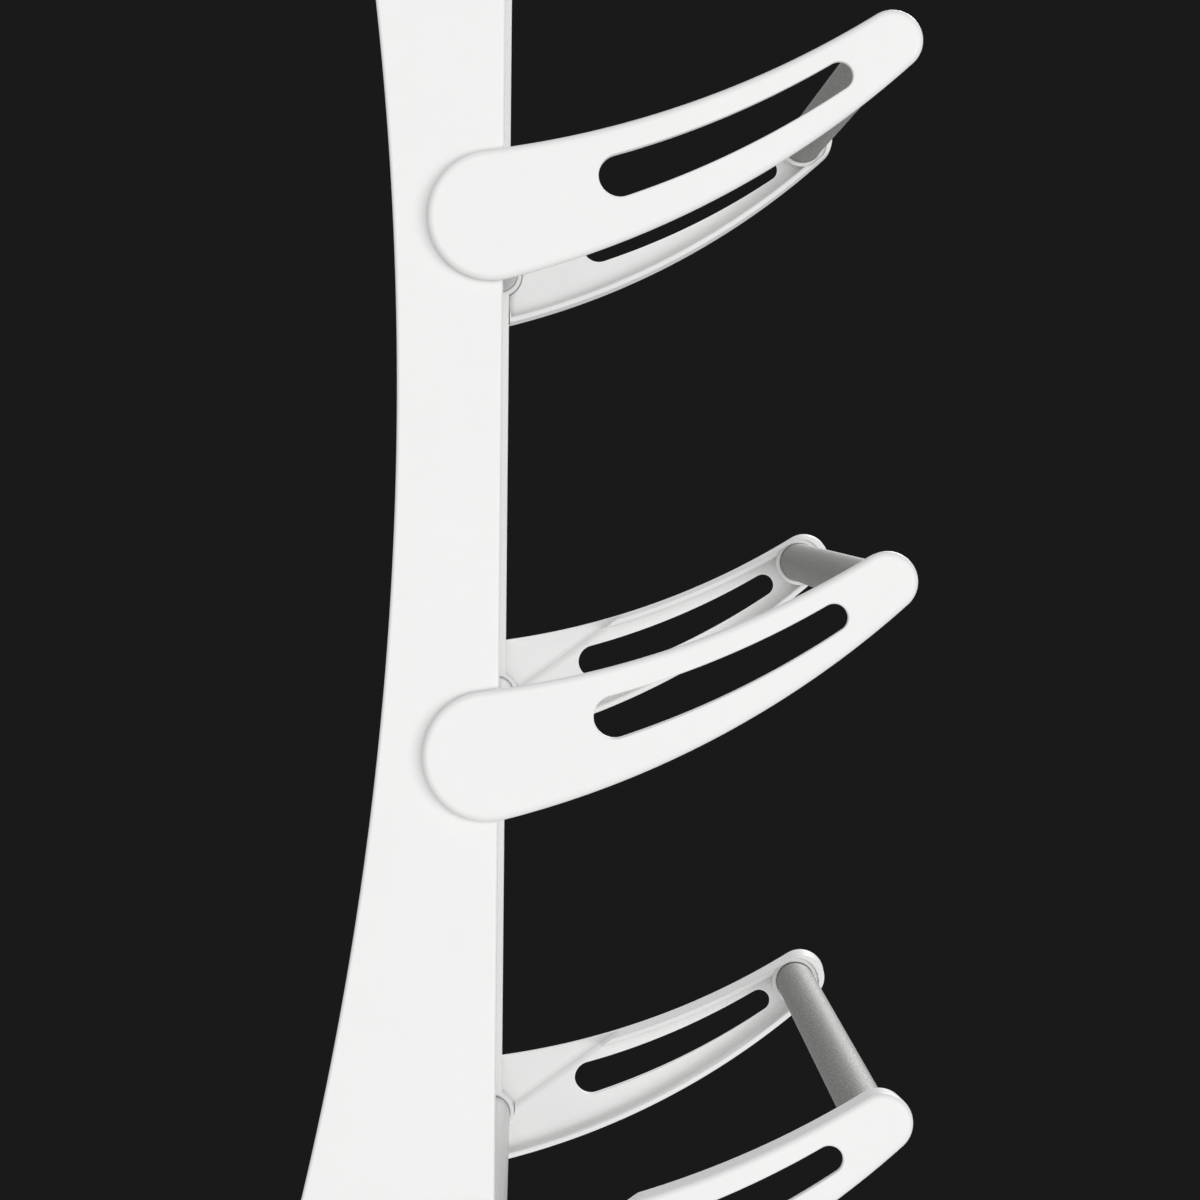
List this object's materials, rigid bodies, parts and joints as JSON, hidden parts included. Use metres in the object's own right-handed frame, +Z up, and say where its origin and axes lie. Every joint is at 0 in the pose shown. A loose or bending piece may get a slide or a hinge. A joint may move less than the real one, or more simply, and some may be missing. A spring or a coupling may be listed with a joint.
{
  "type": "over-the-door shoe rack",
  "caption": "Over-the-door shoe rack: slotted, curved arms joined by a front rod fold up from bowed side panels that hang on strip hooks.",
  "frame": {"origin": "the front edge of the door's top, midway between the two side panels", "axes": "+X along the door to the right seen from the room, +Y through the door, away from the room, +Z up"},
  "size_m": [0.45, 0.2659, 0.7698],
  "materials": {
    "white_plastic": "white moulded plastic, satin",
    "white_steel": "white enamelled steel, satin",
    "grey_metal": "silver-grey coating on steel tube, satin, finely speckled",
    "bush_plastic": "natural plastic, self-lubricating",
    "liner_foam": "grey soft strip",
    "bumper_rubber": "white soft rubber",
    "screw_steel": "zinc plated"
  },
  "bodies": {
    "root": {"left_side_panel": "white_plastic", "left_door_hook": "white_steel", "left_hook_liner": "liner_foam", "left_hook_screw_upper": "screw_steel", "left_hook_screw_lower": "screw_steel", "left_door_bumper": "bumper_rubber", "right_side_panel": "white_plastic", "right_door_hook": "white_steel", "right_hook_liner": "liner_foam", "right_hook_screw_upper": "screw_steel", "right_hook_screw_lower": "screw_steel", "right_door_bumper": "bumper_rubber", "rear_tube_1": "white_steel", "left_bush_1": "bush_plastic", "right_bush_1": "bush_plastic", "rear_tube_2": "white_steel", "left_bush_2": "bush_plastic", "right_bush_2": "bush_plastic", "rear_tube_3": "white_steel", "left_bush_3": "bush_plastic", "right_bush_3": "bush_plastic", "rear_tube_4": "white_steel", "left_bush_4": "bush_plastic", "right_bush_4": "bush_plastic"},
    "tier_1": {"left_arm_1": "white_plastic", "right_arm_1": "white_plastic", "front_rod_1": "grey_metal"},
    "tier_2": {"left_arm_2": "white_plastic", "right_arm_2": "white_plastic", "front_rod_2": "grey_metal"},
    "tier_3": {"left_arm_3": "white_plastic", "right_arm_3": "white_plastic", "front_rod_3": "grey_metal"},
    "tier_4": {"left_arm_4": "white_plastic", "right_arm_4": "white_plastic", "front_rod_4": "grey_metal"}
  },
  "joints": [
    {"name": "tier_1_fold", "type": "hinge", "parent": "root", "child": "tier_1", "pos_m": [0, -0.07445, -0.1735], "axis": [-1, 0, 0], "range_deg": [0, 54]},
    {"name": "tier_2_fold", "type": "hinge", "parent": "root", "child": "tier_2", "pos_m": [0, -0.07445, -0.3535], "axis": [-1, 0, 0], "range_deg": [0, 54]},
    {"name": "tier_3_fold", "type": "hinge", "parent": "root", "child": "tier_3", "pos_m": [0, -0.07445, -0.5335], "axis": [-1, 0, 0], "range_deg": [0, 54]},
    {"name": "tier_4_fold", "type": "hinge", "parent": "root", "child": "tier_4", "pos_m": [0, -0.07445, -0.7135], "axis": [-1, 0, 0], "range_deg": [0, 54]}
  ]
}
